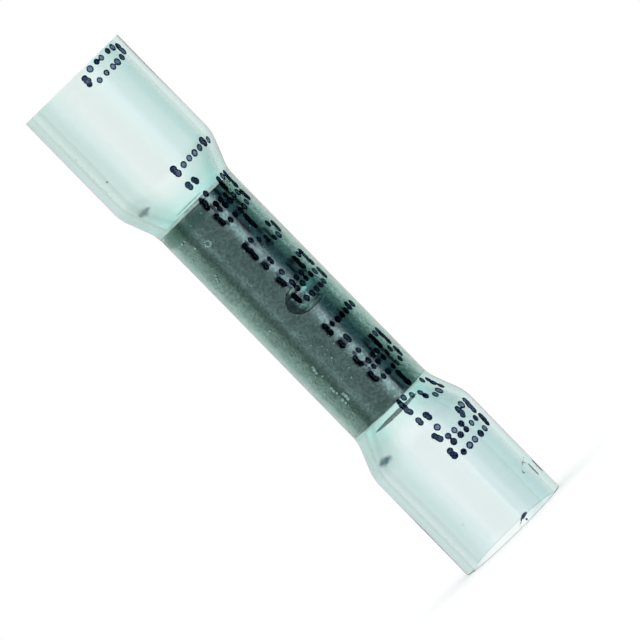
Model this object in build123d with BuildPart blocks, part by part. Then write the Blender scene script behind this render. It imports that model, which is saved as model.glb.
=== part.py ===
"""Heat-shrink crimp splice for one pair of 1.5 to 2.5 mm2 wires, as supplied, before crimping.

A tinned copper barrel sits in the middle of a clear two-layer sleeve. The sleeve is already
shrunk onto the barrel and keeps its full, unshrunk diameter at both mouths.
The splice stands on its lower mouth: Z is the axis of the wires, and Z = 0 is the lower rim.
The wire stop is pressed into the barrel from the front, which is the -Y side.
Millimetres throughout.
"""

from build123d import *
import os
from math import atan, hypot, isclose, sqrt, tan

# Sleeve: one straight cut of two-layer tube
sleeve_length = 33.7
mouth_diameter = 6.88  # outside the jacket, where nothing has shrunk
jacket_wall = 0.28  # as extruded
liner_wall = 0.19  # hot-melt adhesive, as extruded

# Shoulders, where the sleeve leaves the barrel and opens out. Its three surfaces are the skin,
# the interface of jacket and liner, and the bore. Each lead runs from the barrel's end to the
# surface's hollow bend, and the liner is creased over the end itself.
shoulder_reach = 2.15  # from the barrel's end to the round bend beside the mouth
skin_lead = 0.16
skin_neck_bend = 2.4  # radius of the hollow bend
interface_lead = 0.22
interface_neck_bend = 1.8
bore_lead = 0.0
bore_neck_bend = 0.0
mouth_bend = 2.4  # radius of the skin's round bend

# Barrel: rolled from sheet, butted along the back, brazed and tinned
barrel_length = 15.0
barrel_diameter = 4.0
bore_diameter = 2.4
bore_lead_in = 0.2  # chamfer that guides the strands in
barrel_edge_break = 0.08  # tumbled outer edge
seam_width = 0.16
seam_depth = 0.07

# Wire stop: a blunt punch dents the wall from the front and raises a bump in the bore
punch_radius = 0.77  # half the punch's width along the barrel
punch_straight = 0.74  # straight stretch of the punch's nose, across the barrel
stop_depth = 1.0  # from the barrel's skin to the bottom of the dent
stop_wall = 0.6  # metal left under the punch
dent_edge_round = 0.12
bump_root_round = 0.25
same = 0.0001  # two radii this close, relatively, are one radius

# Grip rings cut in the bore, on each side of the stop
ring_count = 2
ring_pitch = 1.2
ring_width = 0.6
ring_depth = 0.12
ring_clearance = 0.63  # from the bump in the bore to the nearest ring's edge

mouth_radius = mouth_diameter / 2
interface_radius = mouth_radius - jacket_wall  # where liner and jacket meet
liner_bore_radius = interface_radius - liner_wall
barrel_radius = barrel_diameter / 2
bore_radius = bore_diameter / 2
middle = sleeve_length / 2
barrel_bottom = middle - barrel_length / 2
barrel_top = middle + barrel_length / 2
punch_axis = barrel_radius - stop_depth + punch_radius  # its distance from the barrel's axis
bump_radius = punch_radius + stop_wall
nearest_ring = bump_radius + ring_clearance + ring_width / 2  # from the stop to the ring's middle


def shrunk_radius(radius_at_mouth):
    """Radius over the barrel: shrinking keeps the area of each layer's cross-section."""
    return sqrt(barrel_radius**2 + radius_at_mouth**2 - liner_bore_radius**2)


def sleeve_surface(radius_at_mouth, neck_lead, neck_bend):
    """Outline, rim to rim, of the sleeve's surface that has this radius at the mouths."""
    depth = mouth_radius - radius_at_mouth
    narrow = shrunk_radius(radius_at_mouth)
    slope = atan((radius_at_mouth - narrow) / (shoulder_reach - neck_lead))
    neck_corner = barrel_top + neck_lead
    mouth_corner = barrel_top + shoulder_reach + depth * tan(slope / 2)
    upper_half = [
        (narrow, neck_corner),
        (radius_at_mouth, mouth_corner),
        (radius_at_mouth, sleeve_length),
    ]
    lower_half = [(x, sleeve_length - z) for x, z in reversed(upper_half)]
    round_bend = mouth_bend - depth
    return FilletPolyline(
        *lower_half,
        *upper_half,
        radius=[round_bend, neck_bend, neck_bend, round_bend],
    )


# Jacket: the clear heat-shrink tube itself
with BuildPart() as heat_shrink_sleeve:
    with BuildSketch(Plane.XZ):
        with BuildLine():
            skin = sleeve_surface(mouth_radius, skin_lead, skin_neck_bend)
            inside = sleeve_surface(interface_radius, interface_lead, interface_neck_bend)
            Line(skin @ 0, inside @ 0)
            Line(skin @ 1, inside @ 1)
        make_face()
    revolve(axis=Axis.Z)
heat_shrink_sleeve.part.label = "heat_shrink_sleeve"

# Liner: hot-melt adhesive that lines the jacket and grips the barrel
with BuildPart() as adhesive_liner:
    with BuildSketch(Plane.XZ):
        with BuildLine():
            outside = sleeve_surface(interface_radius, interface_lead, interface_neck_bend)
            wire_side = sleeve_surface(liner_bore_radius, bore_lead, bore_neck_bend)
            Line(outside @ 0, wire_side @ 0)
            Line(outside @ 1, wire_side @ 1)
        make_face()
    revolve(axis=Axis.Z)
adhesive_liner.part.label = "adhesive_liner"

# Punch: rounded nose lying across the barrel, with straight sides above it
punch_middle = Plane(origin=(0, -punch_axis, middle), x_dir=(1, 0, 0), z_dir=(0, -1, 0))
with BuildPart() as punch:
    with BuildSketch(punch_middle):
        SlotCenterToCenter(punch_straight, 2 * punch_radius)
    extrude(amount=barrel_radius)
    with Locations(punch_middle):
        with Locations((-punch_straight / 2, 0), (punch_straight / 2, 0)):
            Sphere(punch_radius)
        Cylinder(punch_radius, punch_straight, rotation=(0, 90, 0))

# Bump that the punch raises inside the bore, held within the barrel's skin
with BuildPart() as stop_bump:
    with Locations(punch_middle):
        with Locations((-punch_straight / 2, 0), (punch_straight / 2, 0)):
            Sphere(bump_radius)
        Cylinder(bump_radius, punch_straight, rotation=(0, 90, 0))
    with Locations((0, 0, middle)):
        Cylinder(barrel_radius, barrel_length, mode=Mode.INTERSECT)


def from_axis(edge):
    """Distance of an edge's midpoint from the barrel's axis."""
    point = edge @ 0.5
    return hypot(point.X, point.Y)


# Barrel: tube with lead-ins, grip rings, wire stop and seam
with BuildPart() as crimp_barrel:
    with BuildSketch(Plane.XY.offset(barrel_bottom)):
        Circle(barrel_radius)
        Circle(bore_radius, mode=Mode.SUBTRACT)
    extrude(amount=barrel_length)
    end_edges = crimp_barrel.edges().filter_by(GeomType.CIRCLE)
    chamfer(end_edges.filter_by(lambda e: e.radius < barrel_radius), bore_lead_in)
    skin_edges = crimp_barrel.edges().filter_by(GeomType.CIRCLE)
    chamfer(
        skin_edges.filter_by(lambda e: e.radius > barrel_radius - barrel_edge_break),
        barrel_edge_break,
    )
    with BuildSketch(Plane.XZ):
        for ring in range(ring_count):
            from_stop = nearest_ring + ring * ring_pitch
            with Locations((bore_radius, middle - from_stop), (bore_radius, middle + from_stop)):
                Polygon(
                    (-ring_depth, -ring_width),
                    (ring_depth, 0),
                    (-ring_depth, ring_width),
                    align=None,
                )
    revolve(axis=Axis.Z, mode=Mode.SUBTRACT)
    add(stop_bump.part)
    add(punch.part, mode=Mode.SUBTRACT)
    front_edges = crimp_barrel.edges().filter_by(lambda e: (e @ 0.5).Y < -bore_radius / 4)
    dent_rim = front_edges.filter_by(lambda e: isclose(from_axis(e), barrel_radius, rel_tol=same))
    bump_root = front_edges.filter_by(lambda e: isclose(from_axis(e), bore_radius, rel_tol=same))
    fillet(dent_rim, dent_edge_round)
    fillet(bump_root, bump_root_round)
    with BuildSketch(Plane.XY.offset(barrel_bottom)):
        with Locations((0, barrel_radius)):
            Polygon(
                (-seam_width / 2, seam_depth),
                (seam_width / 2, seam_depth),
                (0, -seam_depth),
                align=None,
            )
    extrude(amount=barrel_length, mode=Mode.SUBTRACT)
crimp_barrel.part.label = "crimp_barrel"

os.makedirs("parts", exist_ok=True)
for piece in (heat_shrink_sleeve, adhesive_liner, crimp_barrel):
    export_step(piece.part, f"parts/{piece.part.label}.step")
    print(piece.part.label, round(piece.part.volume, 3), "mm3")
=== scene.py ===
import random
from math import asin, atan, ceil, cos, degrees, exp, pi, radians, sin, sqrt, tan

import bmesh
import bpy
import numpy as np
from mathutils import Matrix, Vector, noise


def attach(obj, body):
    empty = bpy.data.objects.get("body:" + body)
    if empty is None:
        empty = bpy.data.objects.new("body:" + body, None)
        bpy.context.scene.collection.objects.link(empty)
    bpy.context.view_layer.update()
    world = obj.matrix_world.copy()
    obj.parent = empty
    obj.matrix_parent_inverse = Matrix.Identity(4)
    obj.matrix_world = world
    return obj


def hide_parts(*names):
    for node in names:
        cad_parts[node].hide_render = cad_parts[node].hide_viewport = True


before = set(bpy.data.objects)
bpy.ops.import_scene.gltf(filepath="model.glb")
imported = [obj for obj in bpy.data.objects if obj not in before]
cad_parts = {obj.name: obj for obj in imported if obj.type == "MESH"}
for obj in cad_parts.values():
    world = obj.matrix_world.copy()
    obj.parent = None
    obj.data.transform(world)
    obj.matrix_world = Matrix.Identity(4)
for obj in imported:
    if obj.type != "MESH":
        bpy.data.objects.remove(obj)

print("frame loaded:", sorted(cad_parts))
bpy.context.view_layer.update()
mm = 0.001


# Helpers for node trees

def addNode(tree, kind, inputs=None, **settings):
    node = tree.nodes.new(kind)
    for key, value in settings.items():
        setattr(node, key, value)
    for key, value in (inputs or {}).items():
        socket = node.inputs[key]
        if isinstance(value, bpy.types.NodeSocket):
            tree.links.new(value, socket)
        elif socket.type == "RGBA" and len(value) == 3:
            socket.default_value = (*value, 1.0)
        else:
            socket.default_value = value
    return node


def firstOf(tree, kind, inputs=None, **settings):
    return addNode(tree, kind, inputs, **settings).outputs[0]


def shapeNode(tree, kind, inputs=None, **settings):
    return firstOf(tree, "GeometryNode" + kind, inputs, **settings)


def mathNode(tree, operation, first, second=0.0, third=0.0):
    return firstOf(tree, "ShaderNodeMath", {0: first, 1: second, 2: third}, operation=operation)


def times(tree, first, second):
    return mathNode(tree, "MULTIPLY", first, second)


def minus(tree, first, second):
    return mathNode(tree, "SUBTRACT", first, second)


def objectPlace(tree):
    return addNode(tree, "ShaderNodeTexCoord").outputs["Object"]


def splitPlace(tree, place):
    return addNode(tree, "ShaderNodeSeparateXYZ", {0: place}).outputs


def offMiddle(tree, height):
    return mathNode(tree, "ABSOLUTE", minus(tree, height, middle * mm))


def noiseNode(tree, place, scale, detail, roughness=0.5):
    inputs = {0: place, "Scale": scale, "Detail": detail, "Roughness": roughness}
    return firstOf(tree, "ShaderNodeTexNoise", inputs)


def facingNode(tree):
    return addNode(tree, "ShaderNodeLayerWeight", {0: 0.5}).outputs["Facing"]


def bumpNode(tree, height, strength, distance):
    values = {"Strength": strength, "Distance": distance * mm, "Height": height}
    return firstOf(tree, "ShaderNodeBump", values)


def mixColour(tree, factor, first, second, blend="MIX"):
    inputs = {0: factor, 6: first, 7: second}
    return addNode(tree, "ShaderNodeMix", inputs, data_type="RGBA", blend_type=blend).outputs[2]


def mapRange(tree, value, fromMin, fromMax, toMin=0.0, toMax=1.0, kind="LINEAR"):
    sockets = {0: value, 1: fromMin, 2: fromMax, 3: toMin, 4: toMax}
    return firstOf(tree, "ShaderNodeMapRange", sockets, interpolation_type=kind)


def mapLengths(tree, length, ends, toMin=0.0, toMax=1.0, kind="LINEAR"):
    return mapRange(tree, length, ends[0] * mm, ends[1] * mm, toMin, toMax, kind)


def colourRamp(tree, factor, stops):
    node = addNode(tree, "ShaderNodeValToRGB", {0: factor})
    ramp = node.color_ramp
    while len(ramp.elements) < len(stops):
        ramp.elements.new(0.5)
    for element, (place, value) in zip(ramp.elements, stops):
        element.position = place
        element.color = (*value, 1.0) if isinstance(value, tuple) else (value,) * 3 + (1.0,)
    return node.outputs[0]


def emptyTree(owner):
    owner.use_nodes = True
    owner.node_tree.nodes.clear()
    return owner.node_tree


def newMaterial(name):
    material = bpy.data.materials.new(name)
    tree = emptyTree(material)
    return material, tree, objectPlace(tree)


def finishMaterial(material, inputs):
    tree = material.node_tree
    shader = firstOf(tree, "ShaderNodeBsdfPrincipled", inputs)
    addNode(tree, "ShaderNodeOutputMaterial", {0: shader})
    return material


def newObject(name, data):
    piece = bpy.data.objects.new(name, data)
    bpy.context.scene.collection.objects.link(piece)
    return piece


# How the photo looks at the part

stage = {
    "azimuth": -26.0,
    "distance": 545.0,
    "height": 33.7,
    "roll": 44.38,
    "pixelsPerMm": 18.75,
    "centreOffset": (-27.4, 14.8),  # where the part's middle lies in the photo, from its centre, right and up
    "photoSize": 640,
    "markShift": 0.6,  # marks on the front lie this many pixels further along
    "sensor": 36.0,
    "floorRadius": 150.0,
    "floorSides": 96,
    "floorTone": (0.88, 0.88, 0.88),
    "floorGlow": 0.27,
}


# The sleeve's and the barrel's shapes, in millimetres, as in the solids

sleeve = {
    "length": 33.7,
    "mouthRadius": 3.44,
    "jacketWall": 0.28,
    "linerWall": 0.19,
    "shoulderReach": 2.15,
    "skinLead": 0.16,
    "skinBend": 2.4,
    "interfaceLead": 0.22,
    "interfaceBend": 1.8,
    "mouthBend": 2.4,
    "inkRoom": 0.012,  # the drawn jacket lies this far inside the solid, to leave room for the ink
    "bondGap": 0.004,  # half the gap drawn between the two bonded layers
    "gripDepth": 0.02,  # the liner is drawn this far into the barrel, which it wets
    "segments": 216,
    "skinWave": (0.006, 1.6, 3.0),  # amount, size and seed
    "boreWave": (0.012, 1.3, 11.0),
    "noWave": (0.0, 1.0, 0.0),
    "waveSink": 0.9,  # keeps the waves inside the solid
}

barrel = {
    "length": 15.0,
    "radius": 2.0,
    "boreRadius": 1.2,
    "leadIn": 0.2,
    "edgeBreak": 0.08,
    "punchRadius": 0.77,
    "punchStraight": 0.74,
    "stopDepth": 1.0,
    "stopWall": 0.6,
    "dentRound": 0.06,
    "rootRound": 0.3,
    "ringPlaces": (4.0, 5.2),
    "ringWidth": 0.6,
    "ringDepth": 0.12,
    "seamWidth": 0.16,
    "seamDepth": 0.07,
    "dentReach": 1.2,  # rows nearer to the stop than this meet the dent
    "bumpReach": 1.8,
    "skinProbe": (0.6, 281),  # how far in a surface is searched for, and in how many steps
    "boreProbe": (0.2, 241),
    "dentArc": (46, 124),  # degrees to each side of the dent, and columns
    "seamArc": (0.09, 19),
    "plainStep": 2.5,
    "sharpEdge": 32.0,
}
onSurface = 1e-6

middle = sleeve["length"] / 2
mouth = sleeve["mouthRadius"]
perMm = stage["pixelsPerMm"]
viewTurn = radians(stage["azimuth"])
interfaceRadius = mouth - sleeve["jacketWall"]
linerBore = interfaceRadius - sleeve["linerWall"]


def shrunkRadius(radiusAtMouth):
    return sqrt(barrel["radius"] ** 2 + radiusAtMouth**2 - linerBore**2)


def roundedLine(corners, radii, step=radians(2.0)):
    points = [Vector(corners[0])]
    for before, corner, after, radius in zip(corners, corners[1:-1], corners[2:], radii):
        before, corner, after = Vector(before), Vector(corner), Vector(after)
        toBefore, toAfter = (before - corner).normalized(), (after - corner).normalized()
        turn = pi - toBefore.angle(toAfter)
        if radius < onSurface or turn < onSurface:
            points.append(corner)
            continue
        reach = radius * tan(turn / 2)
        centre = corner + (toBefore + toAfter).normalized() * radius / cos(turn / 2)
        start, end = corner + toBefore * reach - centre, corner + toAfter * reach - centre
        count = max(2, round(turn / step))
        for i in range(count + 1):
            points.append(centre + start.slerp(end, i / count).normalized() * radius)
    points.append(Vector(corners[-1]))
    return [(p.x, p.y) for p in points]


def sleeveOutline(radiusAtMouth, neckLead, neckBend):
    depth = mouth - radiusAtMouth
    narrow = shrunkRadius(radiusAtMouth)
    slope = atan((radiusAtMouth - narrow) / (sleeve["shoulderReach"] - neckLead))
    barrelTop = middle + barrel["length"] / 2
    upper = [
        (narrow, barrelTop + neckLead),
        (radiusAtMouth, barrelTop + sleeve["shoulderReach"] + depth * tan(slope / 2)),
        (radiusAtMouth, sleeve["length"]),
    ]
    lower = [(r, sleeve["length"] - z) for r, z in reversed(upper)]
    bend = sleeve["mouthBend"] - depth
    return roundedLine(lower + upper, [bend, neckBend, neckBend, bend])


def longRuns(outline, longest=1.2):  # even rows on the straight runs, for the waviness
    points = [outline[0]]
    for (r0, z0), (r1, z1) in zip(outline, outline[1:]):
        count = max(1, ceil(abs(z1 - z0) / longest))
        points += [(r0 + (r1 - r0) * i / count, z0 + (z1 - z0) * i / count) for i in range(1, count + 1)]
    return points


skinLine = longRuns(sleeveOutline(mouth, sleeve["skinLead"], sleeve["skinBend"]))
interfaceLine = longRuns(sleeveOutline(interfaceRadius, sleeve["interfaceLead"], sleeve["interfaceBend"]))
boreLine = longRuns(sleeveOutline(linerBore, 0.0, 0.0))


def ringFaces(count, around):
    return [
        (i * around + j, i * around + n, k * around + n, k * around + j)
        for i in range(count)
        for k in [(i + 1) % count]
        for j in range(around)
        for n in [(j + 1) % around]
    ]


def smoothMesh(name, vertices, faces):
    mesh = bpy.data.meshes.new(name)
    mesh.from_pydata(vertices, [], faces)
    mesh.polygons.foreach_set("use_smooth", [True] * len(faces))
    mesh.update()
    return mesh


def revolveTube(name, outer, inner, outerWave, innerWave, slots):
    # both lines run upwards; slots are the outer and inner faces' materials, and the rims' is 2
    loop = [(r, z, 0) for r, z in outer] + [(r, z, 1) for r, z in reversed(inner)]
    count, around = len(loop), sleeve["segments"]
    turned = len(outer)
    vertices = []
    for r, z, side in loop:
        amount, size, seed = innerWave if side else outerWave
        for j in range(around):
            angle = 2 * pi * j / around
            x, y = r * cos(angle), r * sin(angle)
            wave = noise.noise(Vector((x / size + seed, y / size, z / (size * 3))))
            scale = (r + amount * (wave - sleeve["waveSink"])) / r
            vertices.append((x * scale * mm, y * scale * mm, z * mm))
    rims = (turned - 1, count - 1)
    indices = []
    for i in range(count):
        indices += [2 if i in rims else slots[i >= turned]] * around
    mesh = smoothMesh(name, vertices, ringFaces(count, around))
    mesh.polygons.foreach_set("material_index", indices)
    corners = (0, turned - 1, turned, count - 1)
    rings = [[v // around for v in edge.vertices] for edge in mesh.edges]
    sharp = mesh.attributes.new("sharp_edge", "BOOLEAN", "EDGE")
    sharp.data.foreach_set("value", [a == b and a in corners for a, b in rings])
    return newObject(name, mesh)


def pullIn(outline, amount):
    return [(r - amount, z) for r, z in outline]


jacketObject = revolveTube(
    "clearJacket",
    pullIn(skinLine, sleeve["inkRoom"]),
    pullIn(interfaceLine, -sleeve["bondGap"]),
    sleeve["skinWave"],
    sleeve["noWave"],
    (0, 1),
)
linerObject = revolveTube(
    "clearLiner",
    pullIn(interfaceLine, sleeve["bondGap"]),
    [(r - (sleeve["gripDepth"] if r < barrel["radius"] + 0.001 else 0.0), z) for r, z in boreLine],
    sleeve["noWave"],
    sleeve["boreWave"],
    (1, 0),
)
print("sleeve tubes:", len(jacketObject.data.polygons), len(linerObject.data.polygons))


# Barrel: a grid turned about the axis, whose walls are pushed in by the punch

def smoothMax(a, b, k):
    return np.maximum(a, b) + np.maximum(k - np.abs(a - b), 0) ** 2 / (4 * k)


def punchDistance(angle, r, z, radius, straightSides):
    x, y = np.cos(angle)[:, None] * r, np.sin(angle)[:, None] * r
    axis = barrel["radius"] - barrel["stopDepth"] + barrel["punchRadius"]
    along = np.maximum(np.abs(x) - barrel["punchStraight"] / 2, 0)
    across = y + axis
    if straightSides:
        across = np.maximum(across, 0)  # above its axis the punch is straight
    return np.sqrt(along**2 + across**2 + z**2) - radius


def skinRadius(angle, z, start):
    r = np.linspace(start, *barrel["skinProbe"])[None, :]
    punch = punchDistance(angle, r, z, barrel["punchRadius"], True)
    solid = smoothMax(r - start, -punch, barrel["dentRound"])
    first = np.argmax(solid < onSurface, axis=1)
    low = np.maximum(first - 1, 0)
    rows = np.arange(len(angle))
    a, b = solid[rows, low], solid[rows, first]
    share = np.where(a > b, np.clip(a / np.maximum(a - b, 1e-9), 0, 1), 0)
    return r[0, low] + (r[0, first] - r[0, low]) * share


def boreRadiusAt(angle, z, start):
    depth, steps = barrel["boreProbe"]
    r = np.linspace(depth, start, steps)[None, :]
    bump = punchDistance(angle, r, z, barrel["punchRadius"] + barrel["stopWall"], False)
    solid = -smoothMax(r - start, -bump, barrel["rootRound"])
    first = np.argmax(solid < onSurface, axis=1)
    first = np.where(solid.min(axis=1) < onSurface, first, steps - 1)
    return r[0, first]


def barrelRows():
    # heights of the rows outside and in the bore, close together where the dent and its bump are
    half, b = barrel["length"] / 2, barrel
    outerZ = [-half, -half + b["edgeBreak"]]
    outerZ += list(np.linspace(-half + 0.4, -1.2, 20)) + list(np.linspace(-1.1, 1.1, 111))
    outerZ += [-z for z in reversed(outerZ[:22])]
    innerZ = [-half, -half + b["leadIn"]]
    for place in b["ringPlaces"]:
        centre = -half + place
        innerZ += [centre - b["ringWidth"] / 2, centre, centre + b["ringWidth"] / 2]
    innerZ += list(np.linspace(-1.75, 1.75, 57))
    innerZ += [-z for z in reversed(innerZ[:8])]
    return sorted(outerZ), sorted(innerZ)


def buildBarrel():
    b = barrel
    half = b["length"] / 2
    arc, columns = b["dentArc"]
    fine = np.radians(np.linspace(-90 - arc, -90 + arc, columns))
    arc, columns = b["seamArc"]
    seam = np.radians(90) + np.linspace(-arc, arc, columns)
    rest = np.concatenate([np.arange(-42, 84, b["plainStep"]), np.arange(98, 222, b["plainStep"])])
    rest = np.radians(rest)
    angles = np.unique(np.round(np.mod(np.concatenate([fine, seam, rest]), 2 * pi), 6))
    outerZ, innerZ = barrelRows()
    rows = []
    for z in outerZ:
        start = b["radius"] - max(0.0, b["edgeBreak"] - (half - abs(z)))
        r = skinRadius(angles, z, start) if abs(z) < b["dentReach"] else np.full(len(angles), start)
        offset = np.abs(np.mod(angles - pi / 2 + pi, 2 * pi) - pi) * b["radius"]
        r = r - b["seamDepth"] * np.clip(1 - offset / (b["seamWidth"] / 2), 0, 1)
        rows.append((r, z))
    for z in reversed(innerZ):
        start = b["boreRadius"] + max(0.0, b["leadIn"] - (half - abs(z)))
        for place in b["ringPlaces"]:
            fromRing = abs(half - abs(z) - place)
            start += b["ringDepth"] * max(0.0, 1 - fromRing / (b["ringWidth"] / 2))
        r = boreRadiusAt(angles, z, start) if abs(z) < b["bumpReach"] else np.full(len(angles), start)
        rows.append((r, z))
    vertices = [
        (radius * cos(angle) * mm, radius * sin(angle) * mm, (z + middle) * mm)
        for r, z in rows
        for radius, angle in zip(r, angles)
    ]
    mesh = smoothMesh("tinnedBarrel", vertices, ringFaces(len(rows), len(angles)))
    work = bmesh.new()
    work.from_mesh(mesh)
    for edge in work.edges:
        if len(edge.link_faces) == 2 and edge.calc_face_angle(0) > radians(b["sharpEdge"]):
            edge.smooth = False
    work.to_mesh(mesh)
    work.free()
    return newObject("tinnedBarrel", mesh)


barrelObject = buildBarrel()
print("barrel faces:", len(barrelObject.data.polygons))


# Effects shared by several materials

def newGroup(name, inputs, output, kind="Float", family="Shader"):
    # inputs are names and the kinds of their sockets
    group = bpy.data.node_groups.new(name, family + "NodeTree")
    for key, socket in inputs.items():
        group.interface.new_socket(key, in_out="INPUT", socket_type="NodeSocket" + socket)
    group.interface.new_socket(output, in_out="OUTPUT", socket_type="NodeSocket" + kind)
    out = group.nodes.new("NodeGroupOutput").inputs[0]
    return group, group.nodes.new("NodeGroupInput").outputs, out


def effectGroup(name, inputs, output):
    return newGroup(name, dict.fromkeys(inputs, "Float"), output)


def shapeGroup(name, values):
    # a Geometry Nodes tree that is given points, and inputs of the kinds that the values have
    kinds = {key: type(value).__name__.capitalize() for key, value in values.items()}
    return newGroup(name, {"Points": "Geometry", **kinds}, "Shape", "Geometry", "Geometry")


def makeDrawnStreaks():
    # fine lines along the tube, left by the extruder's die, over a slow swell
    group, given, out = effectGroup("drawnStreaks", ("Streak Scale", "Swell Scale"), "Height")
    place = objectPlace(group)
    long = firstOf(group, "ShaderNodeMapping", {0: place, "Scale": (1.0, 1.0, 0.04)})
    streaks = noiseNode(group, long, given[0], 3.0)
    swell = noiseNode(group, place, given[1], 1.0)
    height = mathNode(group, "MULTIPLY_ADD", streaks, 0.35, times(group, swell, 0.65))
    group.links.new(height, out)
    return group


def makeScatter(name, bend):
    # scattered grains as a mask, drawn out to short fibres where their places are bent
    group, given, out = effectGroup(name, ("Scale", "Grain Size", "Rarity"), "Mask")
    moved = place = objectPlace(group)
    if bend:
        bent = addNode(group, "ShaderNodeTexNoise", {0: place, "Scale": 2500.0, "Detail": 2.0}).outputs[1]
        moved = mixColour(group, bend, place, bent, "ADD")
    cells = addNode(group, "ShaderNodeTexVoronoi", {0: moved, "Scale": given[0]})
    near = mathNode(group, "LESS_THAN", cells.outputs["Distance"], given[1])
    pick = firstOf(group, "ShaderNodeSeparateColor", {0: cells.outputs["Color"]})
    chosen = mathNode(group, "GREATER_THAN", pick, given[2])
    group.links.new(times(group, near, chosen), out)
    return group


def makeShadedArc():
    # a lens-shaped arc around the tube, as a mask, widest at its azimuth; it places painted shade, and also
    # stains and curled marks
    inputs = ("Height", "Half Width", "Azimuth", "Spread", "Softness")
    group, given, out = effectGroup("paintedShadeAndMarkArc", inputs, "Mask")
    place = objectPlace(group)
    parts = splitPlace(group, place)
    turn = mathNode(group, "ARCTAN2", parts[0], times(group, parts[1], -1.0))
    apart = mathNode(group, "DIVIDE", minus(group, turn, given[2]), given[3])
    inside = mathNode(group, "MAXIMUM", minus(group, 1.0, times(group, apart, apart)), 0.0)
    width = times(group, given[1], mathNode(group, "SQRT", inside))
    wobble = noiseNode(group, place, 4000.0, 2.0)
    wobble = times(group, minus(group, wobble, 0.5), given[4])
    off = mathNode(group, "ABSOLUTE", minus(group, parts[2], given[0]))
    off = mathNode(group, "ADD", off, wobble)
    depth = mathNode(group, "DIVIDE", minus(group, width, off), given[4])
    mask = mapRange(group, depth, 0.0, 1.0, kind="SMOOTHSTEP")
    group.links.new(mask, out)
    return group


drawnStreaks = makeDrawnStreaks()
dustSpecks = makeScatter("dustSpecks", 0.12 * mm)
scatteredGrains = makeScatter("scatteredGrains", 0.0)
paintedShadeAndMarkArc = makeShadedArc()


def placeGroup(tree, group, *values):
    return firstOf(tree, "ShaderNodeGroup", dict(enumerate(values)), node_tree=group)


def placeArc(tree, height, halfWidth, azimuth, spread, softness):
    turns = radians(azimuth), radians(spread)
    return placeGroup(tree, paintedShadeAndMarkArc, height * mm, halfWidth * mm, *turns, softness * mm)


# Clear plastics

clearPlastic = {
    "jacketTint": (0.915, 0.955, 0.945),
    "jacketLowerTint": (0.915, 0.955, 0.968),
    "jacketEdgeTint": (0.64, 0.97, 0.97),
    "jacketShrunkTint": (0.60, 0.86, 0.82),
    "shoulderShade": (0.77, 0.83, 0.81),
    # painted shade: a grey tint that darkens the front of the lower end, then the patch it covers
    "paintedShadeTint": (0.80, 0.82, 0.83),
    "paintedShadePatch": (3.3, 40.0, 1.7, 13.8, 20.0),  # height, half width, azimuth, spread and softness
    "cutRim": (0.84, 0.90, 0.885),
    "cutRimDull": (0.70, 0.76, 0.75),
    "linerTint": (0.90, 0.96, 0.945),
    "linerDenseTint": (0.88, 0.95, 0.935),
    "dustTint": (0.16, 0.20, 0.20),
    # painted shade in dark arcs over the adhesive pooled near the barrel's ends: height, half width, azimuth,
    # spread, softness, strength and colour
    "paintedShadeArcs": (
        (8.90, 0.15, -28.0, 40.0, 0.04, 0.97, (0.006, 0.014, 0.013)),
        (24.67, 0.07, -32.0, 24.0, 0.03, 0.7, (0.08, 0.12, 0.12)),
        (7.46, 0.30, -76.0, 13.0, 0.24, 1.0, (0.008, 0.055, 0.070)),
        (26.02, 0.34, -76.0, 13.0, 0.30, 0.95, (0.012, 0.065, 0.080)),
    ),
    "jacketIndex": 1.5,
    "linerIndex": 1.49,
    "bondIndex": 1.0,
    "bondTints": ((1.0, 1.0, 1.0), (0.97, 0.99, 0.985)),
    "roughness": 0.018,
    "linerRoughness": (0.012, 0.05),
    "rimRoughness": 0.45,
    "rimTransmission": 0.3,
    # distances from the middle over which the shrunk part and the shoulders end, and heights
    "shrunkEnd": (7.35, 9.3),
    "shoulderStart": (7.8, 8.5),
    "shoulderEnd": (9.4, 10.1),
    "edgeStart": (7.5, 7.9),
    "upperFrom": (8.0, 12.0),
    # ranges of how far a face is turned away
    "asideFacing": (0.04, 0.14),
    "edgeFacing": (0.44, 0.55),
    # dust: scale, grain size and rarity; drawn lines: two scales, and their strength and height
    "jacketDust": (420.0, 0.04, 0.62),
    "linerDust": (380.0, 0.03, 0.75),
    "jacketLines": (1500.0, 420.0, 0.12, 0.008),
    "linerLines": (1100.0, 650.0, 0.16, 0.015),
    # scale and detail of the noise
    "haze": (500.0, 3.0),
    "linerCloud": (260.0, 4.0),
    "bondCloud": (240.0, 2.0),
    "rimLines": (9000.0, 2.0),
    "rimCloud": (900.0, 2.0),
}


def finishClear(material, tint, roughness, index, streakScale, swellScale, strength, height):
    tree = material.node_tree
    streaks = placeGroup(tree, drawnStreaks, streakScale, swellScale)
    return finishMaterial(material, {
        "Base Color": tint,
        "Roughness": roughness,
        "Normal": bumpNode(tree, streaks, strength, height),
        "IOR": index,
        "Transmission Weight": 1.0,
    })


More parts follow.
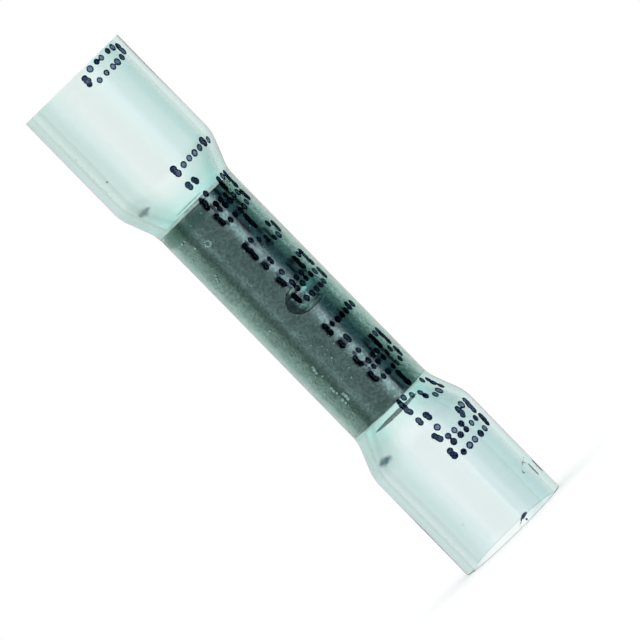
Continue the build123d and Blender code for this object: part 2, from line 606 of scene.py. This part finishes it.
def makeJacketMaterial():
    c = clearPlastic
    material, tree, place = newMaterial("clearJacketPlastic")
    height = splitPlace(tree, place)[2]
    fromMiddle = offMiddle(tree, height)
    shrunk = mapLengths(tree, fromMiddle, c["shrunkEnd"], 1.0, 0.0, "SMOOTHSTEP")
    upper = mapLengths(tree, height, c["upperFrom"])
    tint = mixColour(tree, upper, c["jacketLowerTint"], c["jacketTint"])
    # painted shade: the front of the lower end is darkened by the grey tint in a patch
    paintedShadeColour = mixColour(tree, 1.0, tint, c["paintedShadeTint"], "MULTIPLY")
    lower = minus(tree, 1.0, upper)
    tint = mixColour(tree, times(tree, placeArc(tree, *c["paintedShadePatch"]), lower), tint, paintedShadeColour)
    tint = mixColour(tree, shrunk, tint, c["jacketShrunkTint"])
    # near the outline light runs a long way inside the wall
    facing = facingNode(tree)
    onShoulder = mapLengths(tree, fromMiddle, c["shoulderStart"])
    onShoulder = times(tree, onShoulder, mapLengths(tree, fromMiddle, c["shoulderEnd"], 1.0, 0.0))
    aside = times(tree, mapRange(tree, facing, *c["asideFacing"]), onShoulder)
    tint = mixColour(tree, aside, tint, mixColour(tree, 1.0, tint, c["shoulderShade"], "MULTIPLY"))
    long = mapRange(tree, facing, *c["edgeFacing"], kind="SMOOTHSTEP")
    long = times(tree, long, mapLengths(tree, fromMiddle, c["edgeStart"]))
    tint = mixColour(tree, long, tint, c["jacketEdgeTint"])
    tint = mixColour(tree, placeGroup(tree, dustSpecks, *c["jacketDust"]), tint, c["dustTint"])
    haze = noiseNode(tree, place, *c["haze"])
    rough = mapRange(tree, haze, 0.35, 0.7, c["roughness"] * 0.6, c["roughness"] * 1.8)
    return finishClear(material, tint, rough, c["jacketIndex"], *c["jacketLines"])


def makeLinerMaterial():
    c = clearPlastic
    material, tree, place = newMaterial("clearHotMelt")
    dense = mapRange(tree, noiseNode(tree, place, *c["linerCloud"]), 0.3, 0.75)
    tint = mixColour(tree, dense, c["linerTint"], c["linerDenseTint"])
    tint = mixColour(tree, placeGroup(tree, dustSpecks, *c["linerDust"]), tint, c["dustTint"])
    # painted shade: the liner is darkened in these arcs
    for *arc, solid, shade in c["paintedShadeArcs"]:
        tint = mixColour(tree, times(tree, placeArc(tree, *arc), solid), tint, shade)
    rough = mapRange(tree, dense, 0.0, 1.0, *c["linerRoughness"])
    return finishClear(material, tint, rough, c["linerIndex"], *c["linerLines"])


def makeBondMaterial(name):
    # the faces where jacket and liner are fused pass light straight on
    c = clearPlastic
    material, tree, place = newMaterial(name)
    tint = mixColour(tree, noiseNode(tree, place, *c["bondCloud"]), *c["bondTints"])
    finish = {"Base Color": tint, "Roughness": 0.0, "IOR": c["bondIndex"], "Transmission Weight": 1.0}
    return finishMaterial(material, finish)


def makeRimMaterial():
    # the blade leaves the cut rims frosted, with fine lines across the wall
    c = clearPlastic
    material, tree, place = newMaterial("cutRims")
    drag = firstOf(tree, "ShaderNodeMapping", {0: place, "Scale": (1.0, 0.15, 1.0)})
    lines = noiseNode(tree, drag, *c["rimLines"])
    cloud = mapRange(tree, noiseNode(tree, place, *c["rimCloud"]), 0.4, 0.6)
    colour = mixColour(tree, cloud, c["cutRim"], c["cutRimDull"])
    return finishMaterial(material, {
        "Base Color": colour,
        "Normal": bumpNode(tree, lines, 0.4, 0.01),
        "Roughness": c["rimRoughness"],
        "IOR": c["jacketIndex"],
        "Transmission Weight": c["rimTransmission"],
    })


cutRims = makeRimMaterial()
for piece, finishes in (
    (jacketObject, (makeJacketMaterial(), makeBondMaterial("jacketBond"), cutRims)),
    (linerObject, (makeLinerMaterial(), makeBondMaterial("linerBond"), cutRims)),
):
    for finish in finishes:
        piece.data.materials.append(finish)


# Tinned copper

tinPlate = {
    "base": (0.465, 0.548, 0.543),
    "dull": (0.295, 0.365, 0.360),
    # painted sheen for faces turned edge-on
    "edgeOnPaintedSheen": (0.82, 0.86, 0.82),
    "bright": (0.80, 0.86, 0.85),
    # the next three are painted light in the dent: shade on its lower lobe, a glint on its upper lobe, a
    # highlight on its edge
    "dentPaintedShade": (0.025, 0.092, 0.112),
    "dentPaintedGlint": (0.45, 0.90, 0.88),
    "dentEdgePaintedHighlight": (0.62, 0.74, 0.74),
    "stained": (0.17, 0.30, 0.265),
    "roughness": (0.10, 0.22),
    # arcs as above, the stains with their strength
    "stains": ((23.80, 0.52, -78.0, 72.0, 0.25, 0.75), (9.83, 0.25, -35.0, 42.0, 0.20, 0.5)),
    "curledPatch": (12.76, 1.25, -22.0, 11.0, 0.40),
    # scale, detail and roughness of the noise
    "blotch": (1700.0, 4.0, 0.6),
    "fine": (6500.0, 2.0),
    "curl": (1100.0, 0.5),
    "patch": (520.0, 1.0),
    "tumbled": (2600.0, 4.0, 0.6),
    "mottled": (0.43, 0.57),
    "edgeFacing": (0.32, 0.46),
    "curledFrom": (0.60, 0.68),
    "pits": (2300.0, 0.13, 0.93),  # scale, size and rarity
    # the dent: how far under the skin it starts, its edge of painted highlight, and where its lobes of
    # painted glint and painted shade lie
    "sunkFrom": (0.003, 0.03),
    "dentEdgeFrom": (0.20, 0.10),
    "stopReach": 1.1,
    "lowerLobe": (-0.26, -0.42),
    "upperLobe": (0.45, 0.65),
    "upperLobeHeight": (middle - 0.1, middle + 0.1),
}


def makeTinMaterial():
    t = tinPlate
    material, tree, place = newMaterial("tinnedCopper")
    blotch = noiseNode(tree, place, *t["blotch"])
    fine = noiseNode(tree, place, *t["fine"])
    mottle = mathNode(tree, "MULTIPLY_ADD", fine, 0.6, times(tree, blotch, 0.4))
    colour = mixColour(tree, mapRange(tree, mottle, *t["mottled"]), t["dull"], t["base"])
    facing = facingNode(tree)
    # painted sheen: the barrel is made lighter where its face turns edge-on
    colour = mixColour(tree, mapRange(tree, facing, *t["edgeFacing"]), colour, t["edgeOnPaintedSheen"])
    for *arc, solid in t["stains"]:
        colour = mixColour(tree, times(tree, placeArc(tree, *arc), solid), colour, t["stained"])
    # curled marks where the tin dragged, only in patches
    curl = times(tree, noiseNode(tree, place, *t["curl"]), 22.0)
    line = mapRange(tree, mathNode(tree, "PINGPONG", curl, 1.0), 0.75, 1.0)
    patch = noiseNode(tree, place, *t["patch"])
    curled = mapRange(tree, patch, *t["curledFrom"], 0.0, 0.4)
    curled = mathNode(tree, "MAXIMUM", curled, times(tree, placeArc(tree, *t["curledPatch"]), 0.6))
    pit = placeGroup(tree, scatteredGrains, *t["pits"])
    # the dent is painted: a painted highlight on its shallow edge, a painted glint on its upper lobe and
    # painted shade on its lower lobe
    parts = splitPlace(tree, place)
    flat = firstOf(tree, "ShaderNodeCombineXYZ", {0: parts[0], 1: parts[1]})
    fromAxis = addNode(tree, "ShaderNodeVectorMath", {0: flat}, operation="LENGTH").outputs["Value"]
    under = minus(tree, barrel["radius"] * mm, fromAxis)
    sunk = mapLengths(tree, under, t["sunkFrom"])
    atStop = mathNode(tree, "LESS_THAN", offMiddle(tree, parts[2]), t["stopReach"] * mm)
    front = mathNode(tree, "LESS_THAN", parts[1], 0.0)
    dent = times(tree, sunk, times(tree, atStop, front))
    edge = mapLengths(tree, under, t["dentEdgeFrom"])
    lowerLobe = mapLengths(tree, parts[0], t["lowerLobe"], kind="SMOOTHSTEP")
    upperLobe = mapLengths(tree, parts[0], t["upperLobe"], kind="SMOOTHSTEP")
    upperLobe = times(tree, upperLobe, mapLengths(tree, parts[2], t["upperLobeHeight"]))
    for mask, share, tone in (
        (line, curled, "bright"),
        (pit, 0.7, "bright"),
        (dent, edge, "dentEdgePaintedHighlight"),
        (dent, upperLobe, "dentPaintedGlint"),
        (dent, lowerLobe, "dentPaintedShade"),
    ):
        colour = mixColour(tree, times(tree, mask, share), colour, t[tone])
    tumbled = noiseNode(tree, place, *t["tumbled"])
    height = times(tree, tumbled, mapRange(tree, patch, 0.40, 0.62, 0.25, 1.0))
    return finishMaterial(material, {
        "Base Color": colour,
        "Roughness": mapRange(tree, blotch, 0.35, 0.65, t["roughness"][1], t["roughness"][0]),
        "Normal": bumpNode(tree, height, 0.6, 0.035),
        "Metallic": 1.0,
    })


barrelObject.data.materials.append(makeTinMaterial())
print("materials for the three main pieces are made")


# Printed numbers, in dots

digitDots = {
    "0": "01110 10001 10001 10001 10001 10001 01110",
    "1": "00100 01100 00100 00100 00100 00100 01110",
    "2": "01110 10001 00001 00110 01000 10000 11111",
    "5": "11111 10000 11110 00001 00001 10001 01110",
    ".": "00000 00000 00000 00000 00000 01100 01100",
    "-": "00000 00000 00000 11111 00000 00000 00000",
    " ": "00000 00000 00000 00000 00000 00000 00000",
}

printing = {
    "words": "1.50-2.50 1.50-2.50",
    "blankCells": 4.75,
    "firstPlace": 26.72,  # height of the first character's first column
    "cellPitch": 1.163,
    "columnPitch": 0.188,
    "topRow": 35.7,  # azimuth in degrees
    "rowStep": 8.73,
    "dotRadius": 0.195,
    "cellSize": 0.03,
    "film": 0.006,
    "lift": 0.002,
    "raggedness": 0.03,
    "lean": 0.11,
    "leanPlace": 8.0,
    "leanReach": 0.8,
    "strayMarks": (  # along, across and radius: a smudged scrap at the lower rim and a faint smear
        (307.8, -21, 0.09), (308, -19, 0.11), (308.2, -17, 0.11), (308.7, -15, 0.09), (309.8, -12.9, 0.065),
        (311.2, -10.8, 0.05), (312.5, -8.6, 0.04), (312.6, -17.6, 0.075), (269, -58.6, 0.045),
        (270, -56.8, 0.05), (271, -54.8, 0.075), (271.8, -53.2, 0.06), (273, -55.8, 0.045),
        (274.6, -57.6, 0.04), (269.4, -54, 0.035), (272.8, -51.2, 0.035), (276.4, -57.9, 0.04),
        (274.6, -49.8, 0.035), (276.4, -48.6, 0.05), (278.2, -48, 0.055), (279.3, -48.5, 0.055),
        (281, -50.8, 0.035), (278.6, -63.1, 0.09), (280.4, -63, 0.11), (282.4, -63.1, 0.1),
        (284.6, -63, 0.12), (286.8, -63.1, 0.1), (289, -63, 0.11), (290.8, -63.1, 0.09),
    ),
    "jitter": (0.025, 0.5),  # of the dots, along in millimetres and around in degrees
    "sizeSpread": (0.88, 1.1),
    "topSwell": 0.07,  # dots of the top rows grow by this share a row
    "joinedInk": (0.75, 1.0),  # how dense the ink is, in dots with neighbours and without
    "looseInk": (0.05, 0.2, 0.45, 0.9),
    "strayInk": 0.6,
    "sheetWidth": 5.6,
    "keptShare": 1.12,
    "grain": (5200.0, 2.0),  # scale and detail of the noise
    "castFrom": 5.0,  # radius that the sheet is cast from, and how far inwards
    "castReach": 4.0,
    "welding": 0.00005,
    "seed": 5,
}


def printedDots():
    # height, azimuth, radius and density of each dot
    p = printing
    dice = random.Random(p["seed"])
    cells = len(p["words"]) + p["blankCells"]
    marks = [
        (index, row, column, line)
        for index, letter in enumerate(p["words"])
        for row, line in enumerate(digitDots[letter].split())
        for column, mark in enumerate(line)
        if mark == "1"
    ]
    dots = []
    for repeat in (-1, 0, 1):
        for index, row, column, line in marks:
            z = p["firstPlace"] - (index + repeat * cells) * p["cellPitch"] - column * p["columnPitch"]
            if not 0.0 < z < sleeve["length"]:
                continue
            z += dice.gauss(0, p["jitter"][0])
            # the lower shoulder shrank unevenly and the print leans there
            z -= p["lean"] * (6 - row) * exp(-(((z - p["leanPlace"]) / p["leanReach"]) ** 2))
            turn = p["topRow"] - row * p["rowStep"] + dice.gauss(0, p["jitter"][1])
            size = p["dotRadius"] * dice.uniform(*p["sizeSpread"]) * (1 + p["topSwell"] * max(0, 3 - row))
            joined = "1" in line[max(0, column - 1):column] + line[column + 1:column + 2]
            dense = dice.uniform(*p["joinedInk"]) if joined else dice.choice(p["looseInk"])
            dots.append((z, turn, size, dense))
    for along, across, size in p["strayMarks"]:
        z = middle - (along + stage["markShift"]) / perMm
        turn = asin(across / perMm / mouth)
        dots.append((z, stage["azimuth"] - degrees(turn), size, p["strayInk"]))
    return dots


def makeInkTree(values):
    # gives a print of round dots on the sleeve from points on a flat sheet
    tree, given, out = shapeGroup("dotPrintedInk", values)
    dots = given["Points"]

    def named(name, kind="FLOAT"):
        return shapeNode(tree, "InputNamedAttribute", {0: name}, data_type=kind)

    def stored(geometry, name, value, kind="FLOAT"):
        inputs = {0: geometry, 2: name, 3: value}
        return shapeNode(tree, "StoreNamedAttribute", inputs, data_type=kind)

    def vector(operation, first, second):
        inputs = {0: first, "Scale" if operation == "SCALE" else 1: second}
        return firstOf(tree, "ShaderNodeVectorMath", inputs, operation=operation)

    def ofNearest(name):
        return shapeNode(tree, "SampleIndex", {0: dots, 1: named(name), 2: nearest})

    def above(value, limit):
        return firstOf(tree, "FunctionNodeCompare", {0: value, 1: limit}, operation="GREATER_THAN")

    def without(geometry, chosen):
        return shapeNode(tree, "DeleteGeometry", {0: geometry, 1: chosen})

    sizes = ("Sheet Length", "Sheet Width", "Cells Along", "Cells Across")
    sheet = shapeNode(tree, "MeshGrid", {i: given[size] for i, size in enumerate(sizes)})
    here = shapeNode(tree, "InputPosition")
    near = addNode(tree, "GeometryNodeProximity", {0: dots, 2: here}, target_element="POINTS")
    nearest = shapeNode(tree, "SampleNearest", {0: dots, 1: here})
    grainy = minus(tree, noiseNode(tree, here, *printing["grain"]), 0.5)
    ragged = times(tree, grainy, given["Raggedness"])
    edge = mathNode(tree, "ADD", ofNearest("dotSize"), ragged)
    kept = stored(sheet, "inkShare", mathNode(tree, "DIVIDE", near.outputs[1], edge))
    kept = stored(kept, "inkDense", ofNearest("dotDense"))
    kept = stored(kept, "dotPlace", near.outputs[0], "FLOAT_VECTOR")
    # points just outside a dot are drawn in to its edge, so that it is round
    share = named("inkShare")
    kept = without(kept, above(share, printing["keptShare"]))
    dotPlace = named("dotPlace", "FLOAT_VECTOR")
    arm = vector("SUBTRACT", here, dotPlace)
    snapped = vector("ADD", dotPlace, vector("SCALE", arm, mathNode(tree, "DIVIDE", 1.0, share)))
    kept = shapeNode(tree, "SetPosition", {0: kept, 1: above(share, 1.0), 2: snapped})
    # the flat sheet is wrapped around the tube and cast onto it
    flat = splitPlace(tree, here)
    turn = mathNode(tree, "DIVIDE", flat[1], given["Tube Radius"])
    turn = mathNode(tree, "ADD", turn, given["Middle Azimuth"])
    towards = {0: mathNode(tree, "SINE", turn), 1: times(tree, mathNode(tree, "COSINE", turn), -1.0)}
    outward = firstOf(tree, "ShaderNodeCombineXYZ", towards)
    height = firstOf(tree, "ShaderNodeCombineXYZ", {2: minus(tree, middle * mm, flat[0])})
    start = vector("ADD", vector("SCALE", outward, printing["castFrom"] * mm), height)
    tube = addNode(tree, "GeometryNodeObjectInfo", {0: given["Sleeve"]}, transform_space="RELATIVE")
    inward = vector("SCALE", outward, -1.0)
    cast = {0: tube.outputs["Geometry"], 2: start, 3: inward, 4: printing["castReach"] * mm}
    hit = addNode(tree, "GeometryNodeRaycast", cast)
    landed = vector("ADD", hit.outputs[1], vector("SCALE", outward, given["Lift"]))
    missed = firstOf(tree, "FunctionNodeBooleanMath", {0: hit.outputs[0]}, operation="NOT")
    kept = stored(kept, "missed", missed, "BOOLEAN")
    kept = shapeNode(tree, "SetPosition", {0: kept, 2: landed})
    kept = without(kept, named("missed", "BOOLEAN"))
    top = shapeNode(tree, "ExtrudeMesh", {0: kept, 3: given["Film"], 4: False}, mode="FACES")
    both = addNode(tree, "GeometryNodeJoinGeometry")
    for half in (top, shapeNode(tree, "FlipFaces", {0: kept})):
        tree.links.new(half, both.inputs[0])
    closed = shapeNode(tree, "MergeByDistance", {0: both.outputs[0], 2: printing["welding"] * mm})
    closed = shapeNode(tree, "RealizeInstances", {0: closed})
    closed = shapeNode(tree, "SetMaterial", {0: closed, 2: given["Ink"]})
    tree.links.new(closed, out)
    return tree


def pointCloud(name, places, marks):
    mesh = bpy.data.meshes.new(name)
    mesh.from_pydata(places, [], [])
    for key, values in marks.items():
        mesh.attributes.new(key, "FLOAT", "POINT").data.foreach_set("value", values)
    return newObject(name, mesh)


def applyTree(name, source, makeTree, values):
    # runs a Geometry Nodes tree once and keeps the plain mesh it gives
    tree = makeTree(values)
    modifier = source.modifiers.new("grown", "NODES")
    modifier.node_group = tree
    identifiers = {s.name: s.identifier for s in tree.interface.items_tree if s.in_out == "INPUT"}
    for key, value in values.items():
        modifier[identifiers[key]] = value
    graph = bpy.context.evaluated_depsgraph_get()
    mesh = bpy.data.meshes.new_from_object(source.evaluated_get(graph), depsgraph=graph)
    source.modifiers.remove(modifier)
    bpy.data.objects.remove(source)
    mesh.name = name
    return newObject(name, mesh)


inkFinish = {
    "rim": (0.009, 0.028, 0.048),
    "centre": (0.270, 0.300, 0.440),
    "denseCentre": (0.018, 0.028, 0.070),
    "rimShare": 0.40,
    "fullShare": 0.80,
    "index": 1.04,
    "roughness": 0.08,
    "patchy": (3500.0, 3.0),  # scale and detail of the noise
    "thick": (1200.0, 1.0),
}


def makeInkMaterial():
    f = inkFinish
    material, tree, place = newMaterial("printedInk")
    share, dense = (
        addNode(tree, "ShaderNodeAttribute", attribute_name=name).outputs["Fac"]
        for name in ("inkShare", "inkDense")
    )
    patchy = noiseNode(tree, place, *f["patchy"])
    thick = noiseNode(tree, place, *f["thick"])
    thick = mathNode(tree, "ADD", dense, times(tree, minus(tree, thick, 0.5), 1.2))
    moved = mathNode(tree, "ADD", share, times(tree, minus(tree, patchy, 0.5), 0.4))
    towardsRim = mapRange(tree, moved, f["rimShare"], f["fullShare"], kind="SMOOTHSTEP")
    centre = mixColour(tree, mapRange(tree, thick, 0.0, 1.0), f["centre"], f["denseCentre"])
    return finishMaterial(material, {
        "Base Color": mixColour(tree, towardsRim, centre, f["rim"]),
        "Roughness": f["roughness"],
        "IOR": f["index"],
        "Transmission Weight": 1.0,
    })


def printInk():
    p = printing
    dots = printedDots()
    centreTurn = p["topRow"] - 3 * p["rowStep"]
    flat = [
        ((middle - z) * mm, radians(turn - centreTurn) * mouth * mm, 0.0)
        for z, turn, size, dense in dots
    ]
    values = {
        "Sleeve": jacketObject,
        "Sheet Length": sleeve["length"] * mm,
        "Sheet Width": p["sheetWidth"] * mm,
        "Cells Along": round(sleeve["length"] / p["cellSize"]) + 1,
        "Cells Across": round(p["sheetWidth"] / p["cellSize"]) + 1,
        "Tube Radius": mouth * mm,
        "Middle Azimuth": radians(centreTurn),
        "Raggedness": p["raggedness"] * mm,
        "Film": p["film"] * mm,
        "Lift": p["lift"] * mm,
        "Ink": makeInkMaterial(),
    }
    marks = {"dotSize": [dot[2] * mm for dot in dots], "dotDense": [dot[3] for dot in dots]}
    return applyTree("printedNumbers", pointCloud("dotPlaces", flat, marks), makeInkTree, values)


inkObject = printInk()
work = bmesh.new()
work.from_mesh(inkObject.data)
bmesh.ops.recalc_face_normals(work, faces=work.faces)
work.to_mesh(inkObject.data)
work.free()
print("ink faces:", len(inkObject.data.polygons))


# Air trapped between adhesive and barrel

trappedAir = {
    "count": 150,
    "radius": (0.016, 0.048),
    "flatness": 0.45,
    "depth": 0.045,  # of the bubbles' middles below the liner's face on the barrel
    "marked": (  # along, across and radius
        (57, 28.6, 0.075), (60, 29.5, 0.103), (63.5, 30, 0.092), (85, 30, 0.098), (88.5, 30.3, 0.092),
        (92, 29.6, 0.075), (97, 25.5, 0.092), (100.5, 25, 0.115), (104, 25.6, 0.098), (101, 30.2, 0.115),
        (105, 29.8, 0.081), (-73, 35.5, 0.092), (-70, 36.5, 0.069), (-76, 34, 0.075), (-110, 30, 0.081),
        (-122, 32, 0.069), (-122, 36, 0.081), (1.5, 34, 0.075), (70, 28, 0.063), (118, 31.5, 0.057),
    ),
    "foam": (-104.6, 17.4, 3.0, 9, 0.06),  # a ring of them: along, across, reach, how many and radius
    "tones": ((1.0, 1.0, 0.98), (0.75, 0.83, 0.80)),
    "uneven": (3000.0, 2.0),  # scale and detail of the noise
    "roughness": 0.12,
    "foamSizes": (0.7, 1.2),
    "spread": 0.48,  # reach along the barrel, as a share of its length
    "cloudScales": (2.2, 0.55),
    "cloudLimits": (-0.05, 0.5),
    "clearOfDent": (1.2, 0.6),
    "seed": 12,
}


def makeBubbleTree(values):
    tree, given, out = shapeGroup("bubbleScatter", values)
    ball = shapeNode(tree, "MeshIcoSphere", {0: 1.0, 1: 2})
    here = shapeNode(tree, "InputPosition")
    outward = firstOf(tree, "ShaderNodeVectorMath", {0: here, 1: (1.0, 1.0, 0.0)}, operation="MULTIPLY")
    aim = firstOf(tree, "FunctionNodeAlignRotationToVector", {2: outward}, axis="Z")
    size = shapeNode(tree, "InputNamedAttribute", {0: "bubbleSize"})
    flat = times(tree, size, given["Flatness"])
    scale = firstOf(tree, "ShaderNodeCombineXYZ", {0: size, 1: size, 2: flat})
    inputs = {0: given["Points"], 2: ball, 5: aim, 6: scale}
    placed = shapeNode(tree, "InstanceOnPoints", inputs)
    real = shapeNode(tree, "RealizeInstances", {0: placed})
    smooth = shapeNode(tree, "SetShadeSmooth", {0: real, 2: True})
    coated = shapeNode(tree, "SetMaterial", {0: smooth, 2: given["Air"]})
    tree.links.new(coated, out)
    return tree


def makeAirMaterial():
    t = trappedAir
    material, tree, place = newMaterial("trappedAir")
    uneven = noiseNode(tree, place, *t["uneven"])
    tone = mixColour(tree, uneven, *t["tones"])
    thin = mapRange(tree, uneven, 0.35, 0.65, 0.75, 1.0)
    return finishMaterial(material, {"Base Color": tone, "Alpha": thin, "Roughness": t["roughness"]})


def trapBubbles():
    t = trappedAir
    dice = random.Random(t["seed"])
    places, sizes = [], []

    def add(z, turn, size):
        r = barrel["radius"] + t["depth"]
        places.append((r * sin(turn) * mm, -r * cos(turn) * mm, z * mm))
        sizes.append(size * mm)

    along, across, reach, around, size = t["foam"]
    marked = list(t["marked"])
    for k in range(around):
        angle = 2 * pi * k / around
        place = along + reach * cos(angle), across + reach * sin(angle)
        marked.append((*place, size * dice.uniform(*t["foamSizes"])))
    skin, index = shrunkRadius(mouth), clearPlastic["jacketIndex"]
    for along, across, size in marked:
        # the jacket magnifies the barrel, so the place seen is traced back through it
        v = across / perMm
        turn = asin(v / skin) - asin(v / skin / index) + asin(v / index / barrel["radius"])
        z = middle - (along + stage["markShift"]) / perMm
        add(z, viewTurn - turn, size)
    aroundScale, alongScale = t["cloudScales"]
    dentHeight, dentSide = t["clearOfDent"]
    while len(places) < t["count"]:
        turn = dice.uniform(0, 2 * pi)
        z = middle + dice.uniform(-t["spread"], t["spread"]) * barrel["length"]
        spot = Vector((sin(turn) * aroundScale, cos(turn) * aroundScale, z * alongScale))
        overDent = abs(z - middle) < dentHeight and cos(turn) > dentSide
        if noise.noise(spot) < dice.uniform(*t["cloudLimits"]) or overDent:
            continue
        add(z, turn, dice.uniform(*t["radius"]))
    values = {"Flatness": t["flatness"], "Air": makeAirMaterial()}
    source = pointCloud("bubblePlaces", places, {"bubbleSize": sizes})
    return applyTree("airBubbles", source, makeBubbleTree, values)


bubbleObject = trapBubbles()
print("bubble faces:", len(bubbleObject.data.polygons))


# Stage: camera, floor and world

def placeCamera():
    s, away = stage, stage["distance"]
    station = Vector((sin(viewTurn) * away, -cos(viewTurn) * away, s["height"])) * mm
    target = Vector((0, 0, middle * mm))
    forward = (target - station).normalized()
    level = forward.cross(Vector((0, 0, 1))).normalized()
    upright = level.cross(forward)
    roll = radians(s["roll"])
    right = level * cos(roll) - upright * sin(roll)
    up = level * sin(roll) + upright * cos(roll)
    across, down = (-value / perMm * mm for value in s["centreOffset"])
    forward = (target + right * across + up * down - station).normalized()
    right = forward.cross(up).normalized()
    up = right.cross(forward)
    camera = bpy.data.cameras.new("camera")
    camera.sensor_width = s["sensor"]
    camera.sensor_fit = "HORIZONTAL"
    span = s["photoSize"] / perMm
    camera.lens = s["sensor"] * (target - station).length / mm / span
    camera.clip_start, camera.clip_end = 0.01, 10.0
    holder = newObject("camera", camera)
    rotation = Matrix((right, up, -forward)).transposed().to_4x4()
    holder.matrix_world = Matrix.Translation(station) @ rotation
    bpy.context.scene.camera = holder


def makeFloor():
    mesh = bpy.data.meshes.new("floor")
    around, radius = stage["floorSides"], stage["floorRadius"] * mm
    angles = [2 * pi * j / around for j in range(around)]
    ring = [(radius * cos(angle), radius * sin(angle), 0.0) for angle in angles]
    mesh.from_pydata(ring, [], [tuple(range(around))])
    floor = newObject("floor", mesh)
    material = bpy.data.materials.new("paleFloor")
    tree = emptyTree(material)
    path = addNode(tree, "ShaderNodeLightPath").outputs
    seenDirectly = times(tree, path["Is Camera Ray"], stage["floorGlow"])
    matte = firstOf(tree, "ShaderNodeBsdfDiffuse", {0: stage["floorTone"]})
    glow = firstOf(tree, "ShaderNodeEmission", {0: (1.0, 1.0, 1.0), 1: seenDirectly})
    both = firstOf(tree, "ShaderNodeAddShader", {0: matte, 1: glow})
    # rays that glass bends or mirrors pass on to the studio behind
    bent = mathNode(tree, "MAXIMUM", path["Is Glossy Ray"], path["Is Transmission Ray"])
    gone = firstOf(tree, "ShaderNodeBsdfTransparent")
    chosen = firstOf(tree, "ShaderNodeMixShader", {0: bent, 1: both, 2: gone})
    addNode(tree, "ShaderNodeOutputMaterial", {0: chosen})
    mesh.materials.append(material)
    return floor


studio = {
    # an angle in degrees, positive to the photo's upper right, and a brightness; here the azimuth
    # from the camera
    "reflected": (
        (-180, 0.7), (-160, (0.74, 0.77, 0.76)), (-143, (0.78, 0.79, 0.765)), (-128, (0.69, 0.68, 0.63)),
        (-115, (0.53, 0.51, 0.47)), (-103, (0.59, 0.56, 0.5)), (-91, (0.27, 0.28, 0.25)),
        (-81, (0.13, 0.17, 0.16)), (-71, (0.17, 0.21, 0.19)), (-61, 0.39), (-52, 0.48), (-43, 0.31),
        (-8, (0.26, 0.27, 0.27)), (8, (0.28, 0.28, 0.29)), (17, (0.34, 0.33, 0.34)),
        (25, (0.54, 0.5, 0.53)), (33, (1.00, 0.92, 0.97)), (45, (1.06, 0.97, 1.05)),
        (49, (0.5, 0.52, 0.57)), (53, (0.22, 0.31, 0.35)), (58, (0.03, 0.09, 0.11)), (71, (0.1, 0.17, 0.2)),
        (81, (0.03, 0.07, 0.09)), (91, (0.07, 0.13, 0.13)), (103, (0.2, 0.3, 0.28)),
        (115, (0.17, 0.26, 0.23)), (128, (0.78, 0.79, 0.76)), (143, (0.9, 0.89, 0.86)),
        (162, (0.84, 0.84, 0.825)), (180, 0.7),
    ),
    # by the angle from straight behind the part, which the sleeve's walls turn light through
    "seenThrough": (
        (-30, (0.97, 1.1, 1.1)), (-25, (0.97, 1.11, 1.11)), (-16, (0.89, 1, 1)), (-12, (0.77, 0.87, 0.88)),
        (-9.3, (0.76, 0.86, 0.87)), (-8.2, (0.88, 0.97, 0.97)), (-5.2, (0.87, 0.96, 0.96)),
        (-4.3, (0.9, 0.99, 0.99)), (-3.6, (0.94, 1.01, 1.01)), (-3.1, (0.99, 1.05, 1.05)),
        (-2, (1.02, 1.04, 1.04)), (-1.2, (1.08, 1.07, 1.07)), (0, (1.07, 1.06, 1.06)),
        (1.2, (1.05, 1.08, 1.08)), (2, (0.95, 1.04, 1.05)), (3.7, (0.91, 1.01, 1.02)), (5.2, (0.89, 1, 1)),
        (7.6, (0.8, 0.96, 0.96)), (9.4, (0.75, 0.92, 0.92)), (13, (0.74, 0.91, 0.92)),
        (17, (0.78, 0.95, 0.95)), (25, (0.91, 1.07, 1.07)), (30, (0.91, 1.07, 1.07)),
    ),
    "overhead": (0.95, 0.95, 0.95),
    "overheadFrom": (0.3, 0.75),
    "ambient": (0.92, 0.92, 0.92),
    "background": (1.0, 1.0, 1.0),
}


def makeWorld():
    world = bpy.data.worlds.new("studio")
    bpy.context.scene.world = world
    tree = emptyTree(world)
    direction = addNode(tree, "ShaderNodeTexCoord").outputs["Generated"]
    toCamera = (sin(viewTurn), -cos(viewTurn), 0.0)
    toRight = (cos(viewTurn), sin(viewTurn), 0.0)

    def towards(axis):
        inputs = {0: direction, 1: axis}
        return addNode(tree, "ShaderNodeVectorMath", inputs, operation="DOT_PRODUCT").outputs["Value"]

    right, near = towards(toRight), towards(toCamera)
    azimuth = mathNode(tree, "ARCTAN2", right, near)
    behind = mathNode(tree, "ARCTAN2", right, times(tree, near, -1.0))
    ramps = []
    for key, angle in (("seenThrough", behind), ("reflected", azimuth)):
        whole = studio[key][-1][0] * 2
        share = mathNode(tree, "MULTIPLY_ADD", angle, 1 / radians(whole), 0.5)
        ramps.append(colourRamp(tree, share, [(angle / whole + 0.5, level) for angle, level in studio[key]]))
    path = addNode(tree, "ShaderNodeLightPath").outputs
    reflected = mathNode(tree, "GREATER_THAN", path["Glossy Depth"], 0.5)
    colour = mixColour(tree, reflected, ramps[0], ramps[1])
    high = mathNode(tree, "ABSOLUTE", towards((0.0, 0.0, 1.0)))
    high = mapRange(tree, high, *studio["overheadFrom"], kind="SMOOTHSTEP")
    colour = mixColour(tree, high, colour, studio["overhead"])
    colour = mixColour(tree, path["Is Diffuse Ray"], colour, studio["ambient"])
    colour = mixColour(tree, path["Is Camera Ray"], colour, studio["background"])
    background = firstOf(tree, "ShaderNodeBackground", {0: colour, 1: 1.0})
    addNode(tree, "ShaderNodeOutputWorld", {0: background})


placeCamera()
floorObject = makeFloor()
makeWorld()
bpy.context.scene.view_settings.view_transform = "Standard"
print("stage is set")

for piece in (jacketObject, linerObject, barrelObject, inkObject, bubbleObject):
    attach(piece, "root")
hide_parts("heat_shrink_sleeve")
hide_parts("adhesive_liner")
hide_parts("crimp_barrel")
